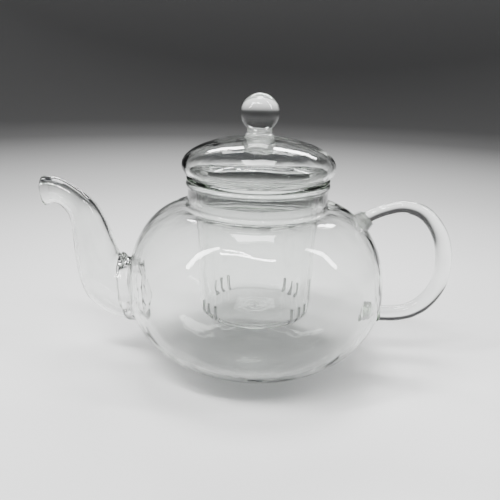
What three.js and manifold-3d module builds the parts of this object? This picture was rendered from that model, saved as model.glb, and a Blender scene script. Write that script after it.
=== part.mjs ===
// Glass teapot, in millimetres, +Z up. The origin is the middle of the flat base, the spout points along
// -X and the handle along +X. Three loose things stack on the pot's axis: the pot (a blown globe with a
// drawn spout and a rod handle fused on), the slotted infuser that hangs in its neck, and the domed lid
// whose skirt drops into the infuser. Pieces that rest on each other, or are fused in the flame, have
// FUSED_GAP between.

import * as THREE from "three";
import { mergeVertices } from "three/addons/utils/BufferGeometryUtils.js";
import Module from "manifold-3d";

const wasm = await Module();
wasm.setup();

// ---------- Driving dimensions ----------

const FUSED_GAP = 0.3;

const GLOBE_RADIUS = 65;
const GLOBE_WIDEST_HEIGHT = 40;
const GLOBE_TOP_HEIGHT = 81.7;
const GLOBE_WALL = 2;
const BASE_RADIUS = 18;
const BASE_WALL = 3;

const NECK_RADIUS = 34.7;
const NECK_WALL = 2.2;
const NECK_FILLET = 1.5;
const RIM_HEIGHT = 94;
const RIM_BEAD_WIDTH = 3;
const RIM_BEAD_HEIGHT = 2.8;

const SPOUT_WALL = 2;
const SPOUT_BORE_RADIUS = 13.4; // where the spout opens into the globe
// Each section of the spout is a circle across the teapot's middle plane, given by the x and z of its upper
// edge and of its lower edge. The first is inside the globe, and the second is the seam with the tube.
const SPOUT_ROOT = [-58, 50.6, -52.6, 18.8];
const SPOUT_SEAM = [-70.5, 51.6, -64.9, 18.6];
const SPOUT_SECTIONS = [
  [-71.1, 53.4, -76.2, 22.2],
  [-71.5, 56, -86.4, 30.6],
  [-72.1, 58.4, -90.4, 39.6],
  [-73.1, 62.3, -92.4, 50.2],
  [-75.1, 68.2, -93, 60.8],
  [-78.1, 75.4, -93.7, 70.4],
  [-82.4, 81.7, -95.5, 76],
  [-89.8, 88.2, -99.4, 79.6],
  [-98.6, 92.9, -102.4, 79.9],
  [-107, 93.6, -105.4, 78.5],
];

// The rod's middle line, as x and z. Both ends are inside the welds, which cut the rod to fit.
const HANDLE_AXIS = [
  [54.2, 76],
  [63, 80.1],
  [73, 82.2],
  [82.3, 80.2],
  [88.6, 74.9],
  [93.4, 67.3],
  [96.2, 57],
  [96.2, 46.5],
  [93.6, 38],
  [88.6, 31],
  [82, 26.5],
  [74.5, 24.6],
  [64, 24.3],
];
const HANDLE_TOP_ROD_RADIUS = 3;
const HANDLE_ROD_RADIUS = 4.1;
// Each weld stands on the globe's wall at foot, as x and z, and leans along lean.
const UPPER_WELD = {
  foot: [52.8, 74.1],
  lean: [0.7, 0.71],
  length: 3.8,
  radius: 4.9,
  endRadius: 3.9,
  ridges: 3,
};
const LOWER_WELD = {
  foot: [60.6, 24.4],
  lean: [1, 0],
  length: 5.4,
  radius: 5.6,
  endRadius: 4.5,
  ridges: 1,
};

const INFUSER_RADIUS = 30;
const INFUSER_FOOT_RADIUS = 28.8;
const INFUSER_WALL = 1.8;
const INFUSER_DEPTH = 68.7; // from the underside of its flange to its bottom
const INFUSER_CORNER = 4.2;
const FLANGE_RADIUS = 35.3;
const FLANGE_THICKNESS = 1.9;
const SLOT_WIDTH = 1.2;
const SLOT_HEIGHT = 9.4; // above the infuser's bottom
const SLOT_INSIDE_RADIUS = 25; // where a slot ends in the bottom, past the rounded corner
const SLOT_GROUP_ANGLES = [40, 134, 216, 320]; // degrees round the axis, from +X
const SLOT_STEP_ANGLE = 11;
const SLOTS_PER_GROUP = 3;

const LID_RADIUS = 37.6;
const LID_WIDEST_HEIGHT = 5; // heights on the lid are above its seat
const LID_CROWN_HEIGHT = 18.8;
const LID_FOOT_RADIUS = 33.5;
const LID_WALL = 1.9;
const SKIRT_RADIUS = 27.7;
const SKIRT_DEPTH = 11.7;
const KNOB_BALL_RADIUS = 9.2;
const KNOB_BALL_HEIGHT = 30;
const KNOB_STEM_RADIUS = 6.2; // at its waist, over the crown
const CROWN_HOLE_RADIUS = 7.3;

const infuserSeatHeight = RIM_HEIGHT + FUSED_GAP;
const lidSeatHeight = infuserSeatHeight + FLANGE_THICKNESS + FUSED_GAP;

// ---------- Materials ----------

const CLEAR_GLASS = { color: 0xf2f7f4, roughness: 0.02, metalness: 0, transparent: true, opacity: 0.35 };
const WELD_GLASS = { color: 0xe6efdf, roughness: 0.08, metalness: 0, transparent: true, opacity: 0.6 };

// ---------- Profiles and solids ----------

const point = (radius, height) => new THREE.Vector2(radius, height);

/** Points of an elliptical arc in the half-plane of radius and height, with its angles in degrees. */
function arc(centre, radii, from, to, steps) {
  const { degToRad } = THREE.MathUtils;
  const clockwise = to < from;
  const curve = new THREE.EllipseCurve(
    centre.x,
    centre.y,
    radii.x,
    radii.y,
    degToRad(from),
    degToRad(to),
    clockwise,
  );
  return curve.getPoints(steps);
}

/** A profile turned round the Z axis. It runs up the outside, and starts and ends on the axis or closes. */
function turned(profile, sides) {
  return new THREE.LatheGeometry(profile, sides).rotateX(Math.PI / 2);
}

/** A curve through points that are given as [x, z] in the teapot's middle plane. */
function planeCurve(points) {
  const places = points.map(([x, z]) => new THREE.Vector3(x, 0, z));
  return new THREE.CatmullRomCurve3(places, false, "centripetal");
}

/**
 * A profile turned round a bent axis in the middle plane. The profile's height is the share of the way
 * along, from 0 to 1, and frameAt gives each share's centre and the direction of its section in the middle
 * plane.
 */
function turnedAlong(frameAt, profile, sides) {
  const geometry = new THREE.LatheGeometry(profile, sides);
  const positions = geometry.attributes.position;
  for (let index = 0; index < positions.count; index += 1) {
    const { centre, across } = frameAt(THREE.MathUtils.clamp(positions.getY(index), 0, 1));
    const placed = centre.clone().addScaledVector(across, positions.getZ(index));
    positions.setXYZ(index, placed.x, positions.getX(index), placed.z);
  }
  return geometry;
}

/** A profile turned round its own axis, which starts at a point and has a direction in the middle plane. */
function turnedFrom([x, z], [directionX, directionZ], profile, sides) {
  const direction = new THREE.Vector3(directionX, 0, directionZ).normalize();
  const turn = new THREE.Quaternion().setFromUnitVectors(new THREE.Vector3(0, 1, 0), direction);
  return new THREE.LatheGeometry(profile, sides).applyQuaternion(turn).translate(x, 0, z);
}

const closed = (profile) => [...profile, profile[0].clone()];

function solid(geometry) {
  const plain = geometry.clone();
  plain.deleteAttribute("normal");
  plain.deleteAttribute("uv");
  const merged = mergeVertices(plain);
  const vertProperties = new Float32Array(merged.attributes.position.array);
  const triVerts = new Uint32Array(merged.index.array);
  return new wasm.Manifold(new wasm.Mesh({ numProp: 3, vertProperties, triVerts }));
}

function geometryOf(manifold) {
  const mesh = manifold.getMesh();
  const geometry = new THREE.BufferGeometry();
  geometry.setAttribute("position", new THREE.BufferAttribute(mesh.vertProperties, 3));
  geometry.setIndex(new THREE.BufferAttribute(mesh.triVerts, 1));
  geometry.computeVertexNormals();
  return geometry;
}

/** A geometry with others cut out of it. */
function cut(geometry, ...cutters) {
  return geometryOf(cutters.reduce((left, cutter) => left.subtract(solid(cutter)), solid(geometry)));
}

function piece(name, geometry, look) {
  const mesh = new THREE.Mesh(geometry, new THREE.MeshStandardMaterial(look));
  mesh.name = name;
  return mesh;
}

// ---------- Pot ----------

const shoulderRadius = NECK_RADIUS + NECK_FILLET;

/** The globe's wall from its base to the foot of its neck, grown outwards by an offset. */
function globeOutline(offset, steps) {
  const below = point(GLOBE_RADIUS - BASE_RADIUS + offset, GLOBE_WIDEST_HEIGHT + offset);
  const rise = GLOBE_TOP_HEIGHT - GLOBE_WIDEST_HEIGHT;
  const above = point(GLOBE_RADIUS - shoulderRadius + offset, rise + offset);
  return [
    ...arc(point(BASE_RADIUS, GLOBE_WIDEST_HEIGHT), below, -90, 0, steps),
    ...arc(point(shoulderRadius, GLOBE_WIDEST_HEIGHT), above, 0, 90, steps).slice(1),
  ];
}

/** The globe's outer shape with the fused gap round it, solid, for what is cut to fit its wall. */
function roomForGlobe() {
  return turned([point(0, 0), ...globeOutline(FUSED_GAP, 9), point(0, GLOBE_TOP_HEIGHT)], 48);
}

function potBody() {
  const neckInside = NECK_RADIUS - NECK_WALL;
  const filletHeight = GLOBE_TOP_HEIGHT + NECK_FILLET;
  const insideFillet = NECK_FILLET + NECK_WALL;
  const insideFilletCentre = point(neckInside + insideFillet, GLOBE_TOP_HEIGHT - GLOBE_WALL + insideFillet);
  const inside = globeOutline(-GLOBE_WALL, 9).filter(({ y }) => y >= BASE_WALL);
  const beadCentre = point(neckInside + RIM_BEAD_WIDTH / 2, RIM_HEIGHT - RIM_BEAD_HEIGHT / 2);
  const profile = [
    point(0, 0),
    ...globeOutline(0, 9),
    ...arc(point(shoulderRadius, filletHeight), point(NECK_FILLET, NECK_FILLET), -90, -180, 2).slice(1),
    point(NECK_RADIUS, RIM_HEIGHT - RIM_BEAD_HEIGHT),
    ...arc(beadCentre, point(RIM_BEAD_WIDTH / 2, RIM_BEAD_HEIGHT / 2), -20, 180, 5),
    ...arc(insideFilletCentre, point(insideFillet, insideFillet), 180, 270, 2),
    ...inside.reverse().slice(1),
    point(0, BASE_WALL),
  ];
  return cut(turned(profile, 48), spoutBore());
}

// ---------- Spout ----------

/** Frames through a list of sections, each with its upper edge and its lower edge. */
function sectionFrames(sections) {
  const upper = planeCurve(sections.map(([x, z]) => [x, z]));
  const lower = planeCurve(sections.map(([, , x, z]) => [x, z]));
  return (share) => {
    const top = upper.getPoint(share);
    const bottom = lower.getPoint(share);
    const across = top.clone().sub(bottom);
    return { centre: bottom.lerp(top, 0.5), radius: across.length() / 2, across: across.normalize() };
  };
}

const weldFrames = sectionFrames([SPOUT_ROOT, SPOUT_SEAM]);

function spoutBore() {
  const radius = SPOUT_BORE_RADIUS;
  return turnedAlong(weldFrames, [point(0, 0), point(radius, 0), point(radius, 1), point(0, 1)], 20);
}

function spoutWeld() {
  const outline = [0, 0.5, 1].map((share) => point(weldFrames(share).radius, share));
  const bore = [point(SPOUT_BORE_RADIUS, 1), point(SPOUT_BORE_RADIUS, 0)];
  return cut(turnedAlong(weldFrames, closed([...outline, ...bore]), 20), roomForGlobe());
}

function spout() {
  const steps = 14;
  const lipShare = 0.015; // the last part of its length, where its edge is rounded
  const [upperX, upperZ, lowerX, lowerZ] = SPOUT_SEAM;
  const start = [upperX - FUSED_GAP, upperZ, lowerX - FUSED_GAP, lowerZ];
  const frames = sectionFrames([start, ...SPOUT_SECTIONS]);
  const outline = [];
  for (let step = 0; step <= steps; step += 1) {
    const share = ((1 - lipShare) * step) / steps;
    outline.push(point(frames(share).radius, share));
  }
  const edge = SPOUT_WALL / 2;
  const lip = arc(point(outline.at(-1).x - edge, 1 - lipShare), point(edge, lipShare), 0, 180, 3);
  const inside = outline.map(({ x, y }) => point(x - SPOUT_WALL, y)).reverse();
  return turnedAlong(frames, closed([...outline, ...lip.slice(1, -1), ...inside]), 16);
}

// ---------- Handle ----------

const handleCurve = planeCurve(HANDLE_AXIS);

function handleFrame(share) {
  const across = new THREE.Vector3(0, 1, 0).cross(handleCurve.getTangentAt(share));
  return { centre: handleCurve.getPointAt(share), across };
}

function handle() {
  const steps = 22;
  const profile = [point(0, 0)];
  for (let step = 0; step <= steps; step += 1) {
    const share = step / steps;
    const thickening = THREE.MathUtils.smoothstep(share, 0.1, 0.5);
    profile.push(point(THREE.MathUtils.lerp(HANDLE_TOP_ROD_RADIUS, HANDLE_ROD_RADIUS, thickening), share));
  }
  profile.push(point(0, 1));
  const rod = turnedAlong(handleFrame, profile, 12);
  return cut(rod, weldGob(UPPER_WELD, FUSED_GAP), weldGob(LOWER_WELD, FUSED_GAP));
}

/** A gob of glass, grown outwards by an offset, with ridges where it was pressed on to the globe. */
function weldGob({ foot, lean, length, radius, endRadius, ridges }, offset) {
  const sunk = 5; // starts inside the globe, so that the globe's wall cuts it to fit
  const ridgeHeight = 0.35;
  const profile = [point(0, -sunk), point(radius + offset, -sunk), point(radius + offset, 0)];
  for (let ridge = 0; ridge < ridges; ridge += 1) {
    const share = (ridge + 0.5) / ridges;
    const slope = THREE.MathUtils.lerp(radius, endRadius, share) + offset;
    profile.push(point(slope + ridgeHeight, length * share), point(slope, length * (share + 0.3 / ridges)));
  }
  profile.push(point(endRadius + offset, length + offset), point(0, length + offset));
  return turnedFrom(foot, lean, profile, 16);
}

const handleWeld = (weld) => cut(weldGob(weld, 0), roomForGlobe());

// ---------- Infuser, with its heights above the underside of its flange ----------

function infuserTube() {
  const bottom = -INFUSER_DEPTH;
  const cornerTop = bottom + INFUSER_CORNER;
  const cornerCentre = INFUSER_FOOT_RADIUS - INFUSER_CORNER;
  const flare = 1.8;
  const flareCentre = point(INFUSER_RADIUS + flare, -flare);
  const insideFlare = flare + FLANGE_THICKNESS;
  const insideCorner = INFUSER_CORNER - INFUSER_WALL;
  const edge = FLANGE_THICKNESS / 2;
  return turned(
    [
      point(0, bottom),
      ...arc(point(cornerCentre, cornerTop), point(INFUSER_CORNER, INFUSER_CORNER), -90, 0, 3),
      ...arc(flareCentre, point(flare, flare), 180, 90, 2),
      ...arc(point(FLANGE_RADIUS - edge, edge), point(edge, edge), -90, 90, 3),
      ...arc(flareCentre, point(insideFlare, insideFlare), 90, 180, 3),
      ...arc(point(cornerCentre, cornerTop), point(insideCorner, insideCorner), 0, -90, 2),
      point(0, bottom + INFUSER_WALL),
    ],
    40,
  );
}

/** The saw's path through the wall and the rounded corner, at an angle in degrees round the axis. */
function slotCutter(angle) {
  const margin = 1; // past the surfaces that it cuts
  const half = SLOT_WIDTH / 2;
  const reach = INFUSER_RADIUS + margin - SLOT_INSIDE_RADIUS;
  const shape = new THREE.Shape();
  shape.moveTo(-half, -margin);
  shape.lineTo(half, -margin);
  shape.absarc(0, SLOT_HEIGHT - half, half, 0, Math.PI);
  return new THREE.ExtrudeGeometry(shape, { depth: reach, bevelEnabled: false, curveSegments: 3 })
    .rotateX(Math.PI / 2)
    .rotateZ(Math.PI / 2)
    .translate(SLOT_INSIDE_RADIUS, 0, -INFUSER_DEPTH)
    .rotateZ(THREE.MathUtils.degToRad(angle));
}

function infuser() {
  const cutters = [];
  for (const groupAngle of SLOT_GROUP_ANGLES) {
    for (let slot = 0; slot < SLOTS_PER_GROUP; slot += 1) {
      const fromMiddle = slot - (SLOTS_PER_GROUP - 1) / 2;
      cutters.push(slotCutter(groupAngle + fromMiddle * SLOT_STEP_ANGLE));
    }
  }
  return cut(infuserTube(), ...cutters);
}

// ---------- Lid, with its heights above its seat ----------

/** Height of the dome's outer surface at a radius. */
function crownHeight(radius) {
  const rise = LID_CROWN_HEIGHT - LID_WIDEST_HEIGHT;
  return LID_WIDEST_HEIGHT + rise * Math.sqrt(1 - (radius / LID_RADIUS) ** 2);
}

/** Angle, in degrees on a dome of the given widest radius, where its edge meets the crown's hole. */
const crownHoleAngle = (radius) => THREE.MathUtils.radToDeg(Math.acos(CROWN_HOLE_RADIUS / radius));

function lidShell() {
  const widest = point(0, LID_WIDEST_HEIGHT);
  const rise = LID_CROWN_HEIGHT - LID_WIDEST_HEIGHT;
  const insideRadius = LID_RADIUS - LID_WALL;
  const footCentre = point(LID_FOOT_RADIUS, LID_WIDEST_HEIGHT);
  const bend = 2;
  const insideBend = bend + LID_WALL;
  const bendCentre = point(SKIRT_RADIUS + bend, -bend);
  const edge = LID_WALL / 2;
  const edgeCentre = point(SKIRT_RADIUS - 0.4 - edge, -SKIRT_DEPTH + edge);
  const curl = point(LID_RADIUS - LID_FOOT_RADIUS, LID_WIDEST_HEIGHT);
  const insideCurl = point(curl.x - LID_WALL, curl.y - LID_WALL);
  return turned(
    closed([
      ...arc(edgeCentre, point(edge, edge), -180, 0, 3),
      ...arc(bendCentre, point(bend, bend), 180, 90, 2),
      ...arc(footCentre, curl, -90, 0, 4),
      ...arc(widest, point(LID_RADIUS, rise), 0, crownHoleAngle(LID_RADIUS), 8).slice(1),
      ...arc(widest, point(insideRadius, rise - LID_WALL), crownHoleAngle(insideRadius), 0, 8),
      ...arc(footCentre, insideCurl, 0, -90, 3).slice(1),
      ...arc(bendCentre, point(insideBend, insideBend), 90, 180, 2),
    ]),
    40,
  );
}

/** The neck of glass under the knob, fused through the crown, and the lump of it inside the dome. */
function knobStem() {
  const lumpRadius = 9.4;
  const lumpHeight = 13.2;
  const lumpDepth = 2.2;
  const throat = CROWN_HOLE_RADIUS - FUSED_GAP;
  const underCrown = crownHeight(CROWN_HOLE_RADIUS) - LID_WALL - FUSED_GAP;
  const footHeight = crownHeight(CROWN_HOLE_RADIUS) + FUSED_GAP;
  const waist = 1.8; // height of the narrowest place above the crown
  const seatRadius = KNOB_BALL_RADIUS + FUSED_GAP;
  const seatAngle = THREE.MathUtils.radToDeg(Math.acos((KNOB_STEM_RADIUS + 0.4) / seatRadius));
  return turned(
    [
      ...arc(point(0, lumpHeight), point(lumpRadius, lumpDepth), -90, 0, 5),
      point(CROWN_HOLE_RADIUS + 0.6, underCrown - 1),
      point(throat, underCrown),
      point(throat, footHeight),
      point(KNOB_STEM_RADIUS, footHeight + waist),
      ...arc(point(0, KNOB_BALL_HEIGHT), point(seatRadius, seatRadius), -seatAngle, -90, 4),
    ],
    24,
  );
}

function knobBall() {
  const ball = arc(point(0, KNOB_BALL_HEIGHT), point(KNOB_BALL_RADIUS, KNOB_BALL_RADIUS), -90, 90, 12);
  return turned(ball, 24);
}

// ---------- Assembly ----------

const pot = new THREE.Group();
pot.add(
  piece("pot_body", potBody(), CLEAR_GLASS),
  piece("spout", spout(), CLEAR_GLASS),
  piece("spout_weld", spoutWeld(), WELD_GLASS),
  piece("handle", handle(), CLEAR_GLASS),
  piece("handle_upper_weld", handleWeld(UPPER_WELD), WELD_GLASS),
  piece("handle_lower_weld", handleWeld(LOWER_WELD), WELD_GLASS),
);

const infuserGroup = new THREE.Group();
infuserGroup.position.z = infuserSeatHeight;
infuserGroup.add(piece("infuser", infuser(), CLEAR_GLASS));

const lid = new THREE.Group();
lid.position.z = lidSeatHeight;
lid.add(
  piece("lid_shell", lidShell(), CLEAR_GLASS),
  piece("knob_stem", knobStem(), WELD_GLASS),
  piece("lid_knob", knobBall(), CLEAR_GLASS),
);

const teapot = new THREE.Group();
teapot.add(pot, infuserGroup, lid);

export default teapot;
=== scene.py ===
"""Looks of the glass teapot, built round its CAD frame. Shapes are worked out in millimetres."""

import bisect
import math

import bmesh
import bpy
from mathutils import Matrix, Vector, noise

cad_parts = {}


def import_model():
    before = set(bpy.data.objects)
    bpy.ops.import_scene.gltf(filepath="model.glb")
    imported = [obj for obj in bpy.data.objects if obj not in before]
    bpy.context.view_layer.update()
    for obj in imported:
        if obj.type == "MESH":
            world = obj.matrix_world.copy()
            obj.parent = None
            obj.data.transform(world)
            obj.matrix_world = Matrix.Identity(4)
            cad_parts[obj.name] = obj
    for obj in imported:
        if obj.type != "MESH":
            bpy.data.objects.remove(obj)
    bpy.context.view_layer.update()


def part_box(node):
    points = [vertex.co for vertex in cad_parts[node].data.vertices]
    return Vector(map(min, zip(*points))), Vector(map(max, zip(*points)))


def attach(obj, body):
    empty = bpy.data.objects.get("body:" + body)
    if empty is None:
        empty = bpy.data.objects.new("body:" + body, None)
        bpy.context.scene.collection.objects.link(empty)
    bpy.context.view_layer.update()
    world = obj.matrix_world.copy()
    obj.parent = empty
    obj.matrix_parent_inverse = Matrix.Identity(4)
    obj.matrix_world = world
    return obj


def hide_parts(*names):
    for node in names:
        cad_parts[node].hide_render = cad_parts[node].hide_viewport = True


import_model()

MM = 0.001
SHARP_EDGE = math.radians(38)

# ---------- Dimensions that the CAD part has too, in millimetres ----------

GLOBE_WIDEST_HEIGHT = 40
GLOBE_TOP_HEIGHT = 81.7
GLOBE_WALL = 2
BASE_RADIUS = 18
BASE_WALL = 3
NECK_RADIUS = 34.7
NECK_WALL = 2.2
NECK_FILLET = 1.5
RIM_BEAD = (3, 2.8)  # width and height
SPOUT_WALL = 2
SPOUT_BORE_RADIUS = 13.4
# Sections of the spout: x and z of its upper edge, then x and z of its lower edge.
SPOUT_ROOT = (-58, 50.6, -52.6, 18.8)
SPOUT_SEAM = (-70.5, 51.6, -64.9, 18.6)
SPOUT_SECTIONS = (
    (-71.1, 53.4, -76.2, 22.2),
    (-71.5, 56, -86.4, 30.6),
    (-72.1, 58.4, -90.4, 39.6),
    (-73.1, 62.3, -92.4, 50.2),
    (-75.1, 68.2, -93, 60.8),
    (-78.1, 75.4, -93.7, 70.4),
    (-82.4, 81.7, -95.5, 76),
    (-89.8, 88.2, -99.4, 79.6),
    (-98.6, 92.9, -102.4, 79.9),
    (-107, 93.6, -105.4, 78.5),
)
HANDLE_AXIS = (
    (54.2, 76),
    (63, 80.1),
    (73, 82.2),
    (82.3, 80.2),
    (88.6, 74.9),
    (93.4, 67.3),
    (96.2, 57),
    (96.2, 46.5),
    (93.6, 38),
    (88.6, 31),
    (82, 26.5),
    (74.5, 24.6),
    (64, 24.3),
)
HANDLE_RADII = (3, 4.1)  # at the upper weld, and from the middle on
UPPER_WELD = {"foot": (52.8, 74.1), "lean": (0.7, 0.71), "length": 3.8, "radii": (4.9, 3.9)}
LOWER_WELD = {"foot": (60.6, 24.4), "lean": (1, 0), "length": 5.4, "radii": (5.6, 4.5)}
INFUSER_RADIUS = 30
INFUSER_FOOT_RADIUS = 28.8
INFUSER_WALL = 1.8
INFUSER_CORNER = 4.2
FLANGE_RADIUS = 35.3
FLANGE_THICKNESS = 1.9
SLOT_WIDTH = 1.2
SLOT_HEIGHT = 9.4
SLOT_INSIDE_RADIUS = 25
SLOT_GROUP_ANGLES = (40, 134, 216, 320)
SLOT_STEP_ANGLE = 11
LID_RADIUS = 37.6
LID_WIDEST_HEIGHT = 5
LID_CROWN_HEIGHT = 18.8
LID_FOOT_RADIUS = 33.5
LID_WALL = 1.9
SKIRT_RADIUS = 27.7
SKIRT_DEPTH = 11.7
CROWN_HOLE_RADIUS = 7.3
KNOB_STEM_RADIUS = 6.2
LUMP_RADIUS = 9.4
LUMP_HEIGHT = 13.2

# ---------- Dimensions and finenesses that only the looks have ----------

# Glass that is fused reaches this far into its neighbour, so that the joint shows no gap.
FUSED_DEPTH = 0.5
KNOB_CAST_GAP = 0.3  # from the crown's hole to the glass that fills it
UPPER_RIDGES = 4
LOWER_RIDGES = 1
CURVE_STEPS = 400
GLOBE_STEPS = 60  # in each quarter of the globe's outline
ROUND_SIDES = 160  # round the globe, the infuser and the lid
SPOUT_SIDES = 96  # and round the knob's stem
WELD_SIDES = 128  # and round the knob's ball
ROD_SIDES = 64
GOB_SIDES = 72
SLIVER = 0.005  # points this close are made one after a cut, so that no empty face is left


def box_mm(node):
    low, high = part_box(node)
    return low / MM, high / MM


GLOBE_RADIUS = box_mm("pot_body")[1].y
RIM_HEIGHT = box_mm("pot_body")[1].z
INFUSER_BOTTOM = box_mm("infuser")[0].z
INFUSER_SEAT = box_mm("infuser")[1].z - FLANGE_THICKNESS
LID_SEAT = box_mm("lid_shell")[0].z + SKIRT_DEPTH
KNOB_RADIUS = (box_mm("lid_knob")[1].z - box_mm("lid_knob")[0].z) / 2
KNOB_HEIGHT = box_mm("lid_knob")[0].z + KNOB_RADIUS


# ---------- Outlines and meshes ----------


def arc(centre, radii, start, end, steps):
    """Points of an elliptical arc, as (radius, height), with its angles in degrees."""
    points = []
    for step in range(steps + 1):
        angle = math.radians(start + (end - start) * step / steps)
        across = centre[0] + radii[0] * math.cos(angle)
        points.append((across, centre[1] + radii[1] * math.sin(angle)))
    return points


def smooth_curve(points, count):
    """A centripetal curve through points, as count + 1 points."""
    points = [Vector(p) for p in points]
    ends = [2 * points[0] - points[1], *points, 2 * points[-1] - points[-2]]
    found = []
    for step in range(count + 1):
        place = (len(points) - 1) * step / count
        index = min(int(place), len(points) - 2)
        before, start, end, after = ends[index : index + 4]
        first, middle, last = (
            math.sqrt((b - a).length) for a, b in ((before, start), (start, end), (end, after))
        )
        slope = (end - start) / middle
        leave = (start - before) / first - (end - before) / (first + middle) + slope
        arrive = slope - (after - start) / (middle + last) + (after - end) / last
        leave, arrive = leave * middle, arrive * middle
        t = place - index
        bend = 3 * (end - start) - 2 * leave - arrive
        ease = 2 * (start - end) + leave + arrive
        found.append(start + leave * t + bend * t * t + ease * t * t * t)
    return found


def upright(radius, height, angle):
    return Vector((radius * math.cos(angle), radius * math.sin(angle), height))


def leaning(foot, lean):
    """Places a turned outline on an axis in the middle plane, from foot along lean."""
    along = Vector((lean[0], 0, lean[1])).normalized()
    across = Vector((-along.z, 0, along.x))
    start = Vector((foot[0], 0, foot[1]))

    def place(radius, height, angle):
        side = Vector((0, radius * math.sin(angle), 0))
        return start + along * height + across * (radius * math.cos(angle)) + side

    return place


def between(uppers, lowers):
    """Places a turned outline in a tube between two edges. Its height is the share along them."""

    def place(radius, share, angle):
        spot = min(max(share, 0), 1) * (len(uppers) - 1)
        index = min(int(spot), len(uppers) - 2)
        top = uppers[index].lerp(uppers[index + 1], spot - index)
        bottom = lowers[index].lerp(lowers[index + 1], spot - index)
        across = (top - bottom).normalized()
        centre = (top + bottom) / 2 + across * (radius * math.cos(angle))
        return Vector((centre.x, radius * math.sin(angle), centre.y))

    return place


def turned(name, material, profile, sides, place=upright, closed=False):
    """An outline of (radius, height) turned round an axis. A closed outline makes a ring."""
    shape = bmesh.new()
    rings = []
    for radius, height in profile:
        count = sides if radius > 1e-6 else 1
        angles = (2 * math.pi * side / sides for side in range(count))
        rings.append([shape.verts.new(place(radius, height, angle) * MM) for angle in angles])
    pairs = list(zip(rings, rings[1:]))
    if closed:
        pairs.append((rings[-1], rings[0]))
    for lower, upper in pairs:
        for side in range(sides):
            corners = [lower[side % len(lower)], lower[(side + 1) % sides % len(lower)]]
            corners += [upper[(side + 1) % sides % len(upper)], upper[side % len(upper)]]
            corners = list(dict.fromkeys(corners))
            if len(corners) > 2:
                shape.faces.new(corners)
    bmesh.ops.recalc_face_normals(shape, faces=shape.faces)
    return object_from(shape, name, material)


def object_from(shape, name, material):
    """Makes a bmesh into an object in the scene."""
    mesh = bpy.data.meshes.new(name)
    shape.to_mesh(mesh)
    shape.free()
    mesh.materials.append(material)
    piece = bpy.data.objects.new(name, mesh)
    bpy.context.scene.collection.objects.link(piece)
    return piece


def cut(piece, cutter):
    """Cuts another object out of a piece. The cut faces take the cutter's material."""
    modifier = piece.modifiers.new("cut", "BOOLEAN")
    modifier.operation = "DIFFERENCE"
    modifier.solver = "EXACT"
    modifier.object = cutter
    modifier.material_mode = "TRANSFER"
    shown = piece.evaluated_get(bpy.context.evaluated_depsgraph_get())
    mesh = bpy.data.meshes.new_from_object(shown)
    piece.modifiers.clear()
    piece.data = mesh
    bpy.data.objects.remove(cutter)
    shape = bmesh.new()
    shape.from_mesh(mesh)
    bmesh.ops.triangulate(shape, faces=[face for face in shape.faces if len(face.verts) > 4])
    bmesh.ops.remove_doubles(shape, verts=shape.verts, dist=SLIVER * MM)
    bmesh.ops.dissolve_degenerate(shape, edges=shape.edges, dist=SLIVER * MM)
    shape.to_mesh(mesh)
    shape.free()
    return piece


def ripple(piece, height, width, squeeze=(1, 1, 1)):
    """Moves a mesh's points in or out by soft waves of glass, in millimetres."""
    normals = [vertex.normal.copy() for vertex in piece.data.vertices]
    for vertex, normal in zip(piece.data.vertices, normals):
        spot = Vector(c * s / width for c, s in zip(vertex.co / MM, squeeze))
        vertex.co += normal * (height * MM * noise.noise(spot))
    return piece


def finished(piece, body, node):
    """Gives a piece its shading and its place in the frame."""
    piece.data.shade_smooth()
    piece.data.set_sharp_from_angle(angle=SHARP_EDGE)
    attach(piece, body)
    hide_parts(node)
    return piece


# ---------- Materials ----------

GLASS_IOR = 1.473
GLASS_DEPTH_TINT = (0.8, 0.93, 0.78, 1)
PATCH_SCALE = 45  # waves per metre, as all scales of noise here
SMEAR_SCALE = 120
GRAIN_SCALE = 900
# Pairs of surface tints, between which each glass changes from patch to patch.
CLEAR = ((0.972, 0.982, 0.975, 1), (0.992, 0.996, 0.993, 1))
WARM = ((0.985, 0.985, 0.98, 1), (1, 1, 0.998, 1))
WHITE = ((0.97, 0.97, 0.97, 1), (1, 1, 1, 1))
# Distance from the teapot in metres, and the painted shade there: the backdrop's colour darkens
# away from the teapot in place of light falling off.
BACKDROP_PAINTED_SHADE = ((0.1, 0.72), (0.45, 0.36), (1.0, 0.05))
# The mix node has sockets of the same name for each kind of data. These are the ones for colours.
MIX_FROM, MIX_TO, MIX_RESULT = 6, 7, 2


def nodes_of(name):
    material = bpy.data.materials.new(name)
    material.use_nodes = True
    tree = material.node_tree
    tree.nodes.clear()
    return material, tree


def add(tree, kind, **inputs):
    """Adds a node, and sets or links what is named, with _ for each space in an input's name."""
    node = tree.nodes.new(kind)
    for name, value in inputs.items():
        socket = node.inputs.get(name.replace("_", " "))
        if socket is None:
            setattr(node, name, value)
        elif isinstance(value, bpy.types.NodeSocket):
            tree.links.new(value, socket)
        else:
            socket.default_value = value
    return node


def waves(tree, places, scale, stretch=(1, 1, 1), detail=2.0):
    """Noise over the object, in waves per metre, squeezed along each axis."""
    squeezed = add(tree, "ShaderNodeMapping", Vector=places, Scale=stretch).outputs["Vector"]
    noise_node = add(tree, "ShaderNodeTexNoise", Vector=squeezed, Scale=scale, Detail=detail)
    return noise_node.outputs["Fac"]


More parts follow.
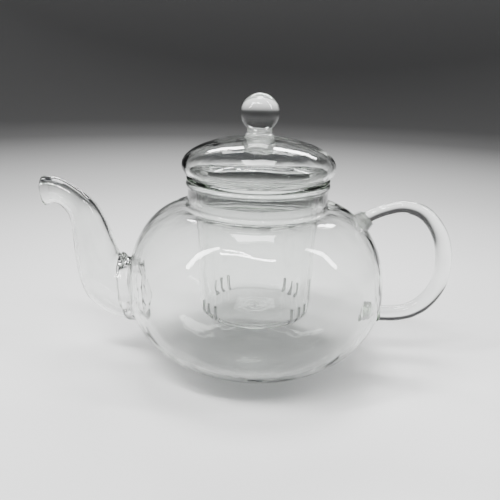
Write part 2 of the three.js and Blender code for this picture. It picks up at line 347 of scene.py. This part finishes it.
def glass(name, tints, roughness, ripples, green, clearness=1, stretch=(1, 1, 1)):
    """Glass with a changing tint, patchy polish and ripples, and a faint green in its depth.

    Each ripple is a scale and a height in millimetres. Green is the depth tint's density per metre.
    """
    material, tree = nodes_of(name)
    places = add(tree, "ShaderNodeTexCoord").outputs["Object"]
    patches = waves(tree, places, PATCH_SCALE, stretch)
    tint = add(tree, "ShaderNodeMix", data_type="RGBA", Factor=patches)
    tint.inputs[MIX_FROM].default_value, tint.inputs[MIX_TO].default_value = tints
    smears = waves(tree, places, SMEAR_SCALE, stretch, detail=5)
    smoothest, roughest = roughness
    polish = add(
        tree,
        "ShaderNodeMapRange",
        Value=smears,
        From_Min=0.45,
        From_Max=0.8,
        To_Min=smoothest,
        To_Max=roughest,
    )
    normal = None
    for scale, height in ripples:
        swell = waves(tree, places, scale, stretch)
        bump = add(tree, "ShaderNodeBump", Height=swell, Distance=height * MM, Strength=1)
        if normal is not None:
            tree.links.new(normal, bump.inputs["Normal"])
        normal = bump.outputs["Normal"]
    shader = add(
        tree,
        "ShaderNodeBsdfPrincipled",
        Base_Color=tint.outputs[MIX_RESULT],
        Roughness=polish.outputs["Result"],
        IOR=GLASS_IOR,
        Transmission_Weight=clearness,
        Normal=normal,
    )
    depth = add(tree, "ShaderNodeVolumeAbsorption", Color=GLASS_DEPTH_TINT, Density=green)
    output = add(tree, "ShaderNodeOutputMaterial")
    tree.links.new(shader.outputs["BSDF"], output.inputs["Surface"])
    tree.links.new(depth.outputs["Volume"], output.inputs["Volume"])
    return material


def backdrop_paint_and_painted_shade():
    """Pale matt paint with a faint grain, and painted shade that darkens it softly away from the
    teapot in place of light falling off.
    """
    material, tree = nodes_of("backdrop_paint_and_painted_shade")
    places = add(tree, "ShaderNodeTexCoord").outputs["Object"]
    distance = add(tree, "ShaderNodeVectorMath", operation="LENGTH")
    tree.links.new(places, distance.inputs[0])
    # Painted shade: the colour darkens with distance from the teapot, standing in for light falling
    # off.
    fade = add(tree, "ShaderNodeValToRGB", Fac=distance.outputs["Value"])
    fade.color_ramp.interpolation = "B_SPLINE"
    fade.color_ramp.elements.new(0.5)
    for element, (place, shade) in zip(fade.color_ramp.elements, BACKDROP_PAINTED_SHADE):
        element.position = place
        element.color = (shade, shade, shade * 0.995, 1)
    grain = waves(tree, places, GRAIN_SCALE)
    bump = add(tree, "ShaderNodeBump", Height=grain, Distance=0.05 * MM, Strength=0.3)
    rough = add(tree, "ShaderNodeMapRange", Value=grain, To_Min=0.5, To_Max=0.65)
    shader = add(
        tree,
        "ShaderNodeBsdfPrincipled",
        Base_Color=fade.outputs["Color"],
        Roughness=rough.outputs["Result"],
        Normal=bump.outputs["Normal"],
    )
    output = add(tree, "ShaderNodeOutputMaterial")
    tree.links.new(shader.outputs["BSDF"], output.inputs["Surface"])
    return material


blown_glass = glass(
    "blown_glass", CLEAR, roughness=(0, 0.03), ripples=((28, 1.1), (90, 0.12)), green=7
)
drawn_glass = glass(
    "drawn_glass", CLEAR, roughness=(0, 0.015), ripples=((40, 0.5), (160, 0.05)), green=7
)
rod_glass = glass(
    "rod_glass", CLEAR, roughness=(0, 0.01), ripples=((60, 0.12), (260, 0.01)), green=2
)
tube_glass = glass(
    "tube_glass",
    CLEAR,
    roughness=(0, 0.03),
    ripples=((35, 0.5), (220, 0.03)),
    green=4,
    stretch=(1, 1, 0.35),
)
weld_glass = glass(
    "weld_glass", WARM, roughness=(0, 0.02), ripples=((220, 0.25), (700, 0.03)), green=1
)
sawn_glass = glass(
    "sawn_glass",
    WHITE,
    roughness=(0.35, 0.6),
    ripples=((900, 0.05), (2500, 0.03)),
    green=0,
    clearness=0.5,
)

# ---------- Pot ----------

shoulder_radius = NECK_RADIUS + NECK_FILLET


def globe_outline(offset):
    """The globe's wall from its base to the foot of its neck, grown outwards by an offset."""
    below = (GLOBE_RADIUS - BASE_RADIUS + offset, GLOBE_WIDEST_HEIGHT + offset)
    rise = GLOBE_TOP_HEIGHT - GLOBE_WIDEST_HEIGHT
    above = (GLOBE_RADIUS - shoulder_radius + offset, rise + offset)
    lower = arc((BASE_RADIUS, GLOBE_WIDEST_HEIGHT), below, -90, 0, GLOBE_STEPS)
    upper = arc((shoulder_radius, GLOBE_WIDEST_HEIGHT), above, 0, 90, GLOBE_STEPS)
    return lower + upper[1:]


def section_radius(section):
    """Half the distance from the upper to the lower edge of one of the spout's sections."""
    return (Vector(section[:2]) - Vector(section[2:])).length / 2


def root_place():
    """Places outlines along the weld between the globe and the spout."""
    top, bottom = ([Vector(s[i : i + 2]) for s in (SPOUT_ROOT, SPOUT_SEAM)] for i in (0, 2))
    return between(top, bottom)


def pot_body():
    neck_inside = NECK_RADIUS - NECK_WALL
    fillet_inside = NECK_FILLET + NECK_WALL
    inner_centre = (neck_inside + fillet_inside, GLOBE_TOP_HEIGHT - GLOBE_WALL + fillet_inside)
    bead = (RIM_BEAD[0] / 2, RIM_BEAD[1] / 2)
    fillet_centre = (shoulder_radius, GLOBE_TOP_HEIGHT + NECK_FILLET)
    under_bead = RIM_HEIGHT - RIM_BEAD[1] - 0.4
    inside = [p for p in globe_outline(-GLOBE_WALL) if p[1] >= BASE_WALL]
    profile = [
        (0, 0),
        *globe_outline(0),
        *arc(fillet_centre, (NECK_FILLET, NECK_FILLET), -90, -180, 10)[1:],
        (NECK_RADIUS, under_bead),
        *arc((neck_inside + bead[0], RIM_HEIGHT - bead[1]), bead, -40, 180, 20),
        (neck_inside, RIM_HEIGHT - RIM_BEAD[1]),
        *arc(inner_centre, (fillet_inside, fillet_inside), 180, 270, 12),
        *inside[-2::-1],
        (0, BASE_WALL),
    ]
    body = turned("pot_body_glass", blown_glass, profile, ROUND_SIDES)
    outline = [(0, 0), (SPOUT_BORE_RADIUS, 0), (SPOUT_BORE_RADIUS, 1), (0, 1)]
    return cut(body, turned("bore", blown_glass, outline, SPOUT_SIDES, root_place()))


def room_for_globe():
    """The globe's solid shape, a little smaller, to cut out of what is fused on to its wall."""
    wall = globe_outline(-FUSED_DEPTH)[1:]
    outline = [(0, 1), *wall, (0, GLOBE_TOP_HEIGHT - FUSED_DEPTH)]
    return turned("room", weld_glass, outline, ROUND_SIDES)


def spout_weld():
    """The ring of fused glass, which flares on to the globe, with a gob in the crotch above it."""
    place = root_place()
    root_radius, seam_radius = (section_radius(s) for s in (SPOUT_ROOT, SPOUT_SEAM))
    flare, gob_height, gob_spread = 1.6, 3.2, 0.34
    gob_share, gob_length = 0.86, 0.13
    steps = 40

    def lumpy(radius, share, angle):
        spot = place(radius, share, angle)
        if radius > SPOUT_BORE_RADIUS:
            turn = math.remainder(angle, 2 * math.pi) / gob_spread
            spot.z += gob_height * math.exp(-(turn**2) - ((share - gob_share) / gob_length) ** 2)
        return spot

    outline = []
    for step in range(steps + 1):
        share = step / steps
        radius = root_radius + (seam_radius - root_radius) * share
        outline.append((radius + flare * (1 - share) ** 2, share))
    inside = [(SPOUT_BORE_RADIUS, 1 - step / steps) for step in range(steps + 1)]
    weld = turned("spout_weld_glass", weld_glass, outline + inside, WELD_SIDES, lumpy, closed=True)
    cut(weld, room_for_globe())
    ripple(weld, height=0.7, width=5)
    return ripple(weld, height=0.25, width=1.6, squeeze=(1, 0.3, 0.3))


def spout():
    steps = 150
    lip_share = 0.012
    start_x = SPOUT_SEAM[0] + FUSED_DEPTH
    start = (start_x, SPOUT_SEAM[1], SPOUT_SEAM[2] + FUSED_DEPTH, SPOUT_SEAM[3])
    sections = (start, *SPOUT_SECTIONS)
    uppers = smooth_curve([s[:2] for s in sections], CURVE_STEPS)
    lowers = smooth_curve([s[2:] for s in sections], CURVE_STEPS)
    outline = []
    for step in range(steps + 1):
        share = (1 - lip_share) * step / steps
        index = round(share * CURVE_STEPS)
        outline.append(((uppers[index] - lowers[index]).length / 2, share))
    edge = SPOUT_WALL / 2
    lip = arc((outline[-1][0] - edge, 1 - lip_share), (edge, lip_share), 0, 180, 12)[1:-1]
    inside = [(radius - SPOUT_WALL, share) for radius, share in reversed(outline)]
    place = between(uppers, lowers)
    outline += lip + inside
    tube = turned("spout_glass", drawn_glass, outline, SPOUT_SIDES, place, closed=True)
    return ripple(tube, height=0.16, width=14)


def rod_place():
    """Places an outline along the handle's middle line, by the share of its length."""
    line = smooth_curve(HANDLE_AXIS, CURVE_STEPS)
    lengths = [0]
    for a, b in zip(line, line[1:]):
        lengths.append(lengths[-1] + (b - a).length)

    def place(radius, share, angle):
        wanted = min(max(share, 0), 1) * lengths[-1]
        index = min(max(bisect.bisect_left(lengths, wanted), 1), CURVE_STEPS)
        step = lengths[index] - lengths[index - 1]
        centre = line[index - 1].lerp(line[index], (wanted - lengths[index - 1]) / step)
        ahead = (line[min(index + 1, CURVE_STEPS)] - line[max(index - 2, 0)]).normalized()
        centre = centre + Vector((-ahead.y, ahead.x)) * (radius * math.cos(angle))
        return Vector((centre.x, radius * math.sin(angle), centre.y))

    return place


def handle():
    """The bent rod, which is thinner at its upper end."""
    steps = 140
    thin_share, thickening_share = 0.1, 0.4
    thin, thick = HANDLE_RADII
    outline = [(0, 0)]
    for step in range(steps + 1):
        share = step / steps
        progress = min(max((share - thin_share) / thickening_share, 0), 1)
        eased = progress * progress * (3 - 2 * progress)
        outline.append((thin + (thick - thin) * eased, share))
    outline.append((0, 1))
    rod = turned("handle_rod", rod_glass, outline, ROD_SIDES, rod_place())
    cut(rod, weld_shape("upper_room", UPPER_WELD, UPPER_RIDGES, -FUSED_DEPTH))
    cut(rod, weld_shape("lower_room", LOWER_WELD, LOWER_RIDGES, -FUSED_DEPTH))
    return ripple(rod, height=0.12, width=9)


def weld_shape(name, weld, ridges, offset):
    """A gob of glass with soft ridges where it was pressed on to the globe."""
    sunk, steps = 5, 64
    ridge_height, first_ridge = 0.55, 0.2
    taper = 1.4
    shoulder, shoulder_drop, crown = 0.86, 0.16, 0.3
    wide, narrow = weld["radii"]
    outline = [(0, -sunk), (wide + offset, -sunk)]
    for step in range(steps + 1):
        share = step / steps
        radius = wide + (narrow - wide) * share**taper
        past_shoulder = max(0, (share - shoulder) / (1 - shoulder))
        rounding = 1 - past_shoulder**2 * shoulder_drop
        crest = ridge_height * math.cos(2 * math.pi * (ridges * share - first_ridge))
        height = (weld["length"] + offset) * share
        outline.append(((radius + crest) * rounding + offset, height))
    outline.append((0, weld["length"] + offset + crown))
    return turned(name, weld_glass, outline, GOB_SIDES, leaning(weld["foot"], weld["lean"]))


def handle_weld(name, weld, ridges):
    gob = weld_shape(name, weld, ridges, 0)
    cut(gob, room_for_globe())
    return ripple(gob, height=0.25, width=4)


# ---------- Infuser ----------


def bottom_ripples():
    """The infuser's bottom from inside, with rings that die away from its middle."""
    steps, reach = 40, 14
    height, spacing, fade = 0.16, 3.4, 7
    inside = INFUSER_BOTTOM + INFUSER_WALL
    points = []
    for step in range(steps):
        radius = reach * (1 - step / steps)
        swell = math.cos(2 * math.pi * radius / spacing) * math.exp(-((radius / fade) ** 2))
        points.append((radius, inside + height * swell))
    return [*points, (0, inside + height)]


def infuser_tube():
    corner_radius = INFUSER_FOOT_RADIUS - INFUSER_CORNER
    corner_top = INFUSER_BOTTOM + INFUSER_CORNER
    flare = 1.8
    flare_centre = (INFUSER_RADIUS + flare, INFUSER_SEAT - flare)
    flare_inside = flare + FLANGE_THICKNESS
    inside_corner = INFUSER_CORNER - INFUSER_WALL
    edge = FLANGE_THICKNESS / 2
    profile = [
        (0, INFUSER_BOTTOM),
        *arc((corner_radius, corner_top), (INFUSER_CORNER,) * 2, -90, 0, 14),
        *arc(flare_centre, (flare,) * 2, 180, 90, 12),
        *arc((FLANGE_RADIUS - edge, INFUSER_SEAT + edge), (edge,) * 2, -90, 90, 12),
        *arc(flare_centre, (flare_inside,) * 2, 90, 180, 14),
        *arc((corner_radius, corner_top), (inside_corner,) * 2, 0, -90, 12),
        *bottom_ripples(),
    ]
    return turned("infuser_glass", tube_glass, profile, ROUND_SIDES)


def add_slot(shape, angle):
    """Adds the saw's path at one slot, with a round upper end, to a bmesh."""
    half = SLOT_WIDTH / 2
    past = 1  # the saw's path goes this far out of the glass
    round_end = arc((0, SLOT_HEIGHT - half), (half, half), 0, 180, 10)
    outline = [(-half, -past), (half, -past), *round_end]
    turn = Matrix.Rotation(math.radians(angle), 3, "Z")
    ends = []
    for radius in (SLOT_INSIDE_RADIUS, INFUSER_RADIUS + past):
        places = (turn @ Vector((radius, y, INFUSER_BOTTOM + z)) for y, z in outline)
        ends.append([shape.verts.new(place * MM) for place in places])
    for index in range(len(outline)):
        after = (index + 1) % len(outline)
        shape.faces.new((ends[0][index], ends[0][after], ends[1][after], ends[1][index]))
    for end in ends:
        shape.faces.new(end)


def infuser():
    shape = bmesh.new()
    for group in SLOT_GROUP_ANGLES:
        for step in (-1, 0, 1):
            add_slot(shape, group + SLOT_STEP_ANGLE * step)
    bmesh.ops.recalc_face_normals(shape, faces=shape.faces)
    return cut(infuser_tube(), object_from(shape, "slots", sawn_glass))


# ---------- Lid ----------


def crown_height(radius):
    rise = LID_CROWN_HEIGHT - LID_WIDEST_HEIGHT
    return LID_SEAT + LID_WIDEST_HEIGHT + rise * math.sqrt(1 - (radius / LID_RADIUS) ** 2)


def lid_shell():
    hole = CROWN_HOLE_RADIUS - KNOB_CAST_GAP - FUSED_DEPTH
    widest = (0, LID_SEAT + LID_WIDEST_HEIGHT)
    rise = LID_CROWN_HEIGHT - LID_WIDEST_HEIGHT
    inside = (LID_RADIUS - LID_WALL, rise - LID_WALL)
    foot = (LID_FOOT_RADIUS, LID_SEAT + LID_WIDEST_HEIGHT)
    curl = (LID_RADIUS - LID_FOOT_RADIUS, LID_WIDEST_HEIGHT)
    bend = 2
    bend_centre = (SKIRT_RADIUS + bend, LID_SEAT - bend)
    edge = LID_WALL / 2
    skirt_taper = 0.4
    edge_centre = (SKIRT_RADIUS - skirt_taper - edge, LID_SEAT - SKIRT_DEPTH + edge)
    outer_end = math.degrees(math.acos(hole / LID_RADIUS))
    inner_end = math.degrees(math.acos(hole / inside[0]))
    profile = [
        *arc(edge_centre, (edge, edge), -180, 0, 12),
        *arc(bend_centre, (bend, bend), 180, 90, 10),
        *arc(foot, curl, -90, 0, 24),
        *arc(widest, (LID_RADIUS, rise), 0, outer_end, 60)[1:],
        *arc(widest, inside, inner_end, 0, 60),
        *arc(foot, (curl[0] - LID_WALL, curl[1] - LID_WALL), 0, -90, 20)[1:],
        *arc(bend_centre, (bend + LID_WALL,) * 2, 90, 180, 12),
    ]
    shell = turned("lid_shell_glass", blown_glass, profile, ROUND_SIDES, closed=True)
    return ripple(shell, height=0.12, width=22)


def knob_stem():
    """The neck of glass under the ball, with soft rings, and a lump inside the dome."""
    ball_seat = KNOB_HEIGHT - math.sqrt(KNOB_RADIUS**2 - KNOB_STEM_RADIUS**2)
    lump = LID_SEAT + LUMP_HEIGHT
    crown = crown_height(CROWN_HOLE_RADIUS)
    under_crown = crown - LID_WALL
    in_hole = CROWN_HOLE_RADIUS - KNOB_CAST_GAP
    path = [
        (LUMP_RADIUS, lump),
        (LUMP_RADIUS - 0.9, lump + 0.9),
        (CROWN_HOLE_RADIUS + 0.3, under_crown - 0.9),
        (in_hole, under_crown),
        (in_hole, crown),
        (KNOB_STEM_RADIUS + 0.1, crown + 1.6),
        (KNOB_STEM_RADIUS - 0.3, crown + 3.4),
        (KNOB_STEM_RADIUS + 0.3, ball_seat + 0.2),
    ]
    ring_height, ring_spacing = 0.34, 2.1
    side = []
    for point in smooth_curve(path, 72):
        rings = ring_height * math.cos(2 * math.pi * (point.y - lump) / ring_spacing)
        side.append((point.x + rings, point.y))
    lump_radii = (LUMP_RADIUS + 0.2, 2.2)
    inside_ball = (0, ball_seat + 1.2)
    outline = [*arc((0, lump), lump_radii, -90, 0, 20)[:-1], *side, inside_ball]
    stem = turned("knob_stem_glass", weld_glass, outline, SPOUT_SIDES)
    return ripple(stem, height=0.25, width=3)


def knob_ball():
    outline = arc((0, KNOB_HEIGHT), (KNOB_RADIUS, KNOB_RADIUS), -90, 90, 72)
    ball = turned("lid_knob_glass", rod_glass, outline, WELD_SIDES)
    return ripple(ball, height=0.1, width=10)


# ---------- The teapot ----------

finished(pot_body(), "pot", "pot_body")
finished(spout(), "pot", "spout")
finished(spout_weld(), "pot", "spout_weld")
finished(handle(), "pot", "handle")
upper_weld = handle_weld("handle_upper_weld_glass", UPPER_WELD, UPPER_RIDGES)
lower_weld = handle_weld("handle_lower_weld_glass", LOWER_WELD, LOWER_RIDGES)
finished(upper_weld, "pot", "handle_upper_weld")
finished(lower_weld, "pot", "handle_lower_weld")
finished(infuser(), "infuser", "infuser")
finished(lid_shell(), "lid", "lid_shell")
finished(knob_stem(), "lid", "knob_stem")
finished(knob_ball(), "lid", "lid_knob")

# ---------- Studio ----------

FLOOR_HEIGHT = -0.3  # a little under the foot, so that their faces don't meet
FLOOR_RADIUS = 1300
BACKDROP_BEND = 500
BACKDROP_HEIGHT = 1700


def backdrop():
    """A round pale floor that curves up into a wall on every side."""
    bend_centre = (FLOOR_RADIUS, FLOOR_HEIGHT + BACKDROP_BEND)
    outline = [
        (0, FLOOR_HEIGHT),
        *arc(bend_centre, (BACKDROP_BEND, BACKDROP_BEND), -90, 0, 24),
        (FLOOR_RADIUS + BACKDROP_BEND, BACKDROP_HEIGHT),
    ]
    floor = turned("studio_floor", backdrop_paint_and_painted_shade(), outline, 96)
    floor.data.flip_normals()
    floor.data.shade_smooth()


def softbox(name, place, size, power):
    """A soft light at a place in metres, with its width and height, that faces the teapot."""
    light = bpy.data.lights.new(name, "AREA")
    light.shape = "RECTANGLE"
    light.size, light.size_y = size
    light.energy = power
    lamp = bpy.data.objects.new(name, light)
    lamp.location = place
    towards = Vector((0, 0, 0.05)) - Vector(place)
    lamp.rotation_euler = towards.to_track_quat("-Z", "Y").to_euler()
    bpy.context.scene.collection.objects.link(lamp)


def world():
    sky = bpy.data.worlds.new("studio_air")
    sky.use_nodes = True
    background = sky.node_tree.nodes["Background"]
    background.inputs["Color"].default_value = (0.8, 0.86, 1, 1)
    background.inputs["Strength"].default_value = 0.12
    bpy.context.scene.world = sky


def camera():
    """The camera, close to the teapot and a little off level, as the photographer's was."""
    place = Vector((-3.14, -274.42, 147.45)) * MM
    pitch, roll = math.radians(18.11), math.radians(1.48)
    ahead = Vector((0, math.cos(pitch), -math.sin(pitch)))
    right, up = Vector((1, 0, 0)), Vector((0, math.sin(pitch), math.cos(pitch)))
    columns = (
        right * math.cos(roll) + up * math.sin(roll),
        up * math.cos(roll) - right * math.sin(roll),
        -ahead,
    )
    data = bpy.data.cameras.new("camera")
    data.sensor_width = 36
    data.lens = 40.54
    data.clip_start = 0.01
    seen = bpy.data.objects.new("camera", data)
    seen.matrix_world = Matrix.Translation(place) @ Matrix(columns).transposed().to_4x4()
    bpy.context.scene.collection.objects.link(seen)
    bpy.context.scene.camera = seen


def light_paths():
    """Lets light pass through every wall of glass, and through it on to the floor."""
    cycles = bpy.context.scene.cycles
    cycles.max_bounces = 40
    cycles.transmission_bounces = 40
    cycles.glossy_bounces = 24
    cycles.diffuse_bounces = 4
    cycles.caustics_refractive = True
    cycles.caustics_reflective = True
    cycles.blur_glossy = 0.3
    cycles.sample_clamp_indirect = 4
    cycles.use_denoising = True


def picture_contrast():
    bpy.context.scene.view_settings.look = "AgX - Medium High Contrast"


backdrop()
softbox("top_softbox", (0, 0.2, 1.3), (0.5, 0.4), 9)
softbox("left_strip", (-0.8, -0.35, 0.9), (0.1, 0.8), 10)
softbox("right_strip", (0.9, -0.2, 0.8), (0.07, 0.7), 5)
softbox("back_strip", (0.1, 1.0, 0.9), (1.2, 0.12), 13)
softbox("front_strip", (-0.15, -0.6, 1.1), (0.9, 0.04), 9)
softbox("second_front_strip", (-0.25, -0.45, 1.1), (0.5, 0.02), 4)
world()
camera()
light_paths()
picture_contrast()
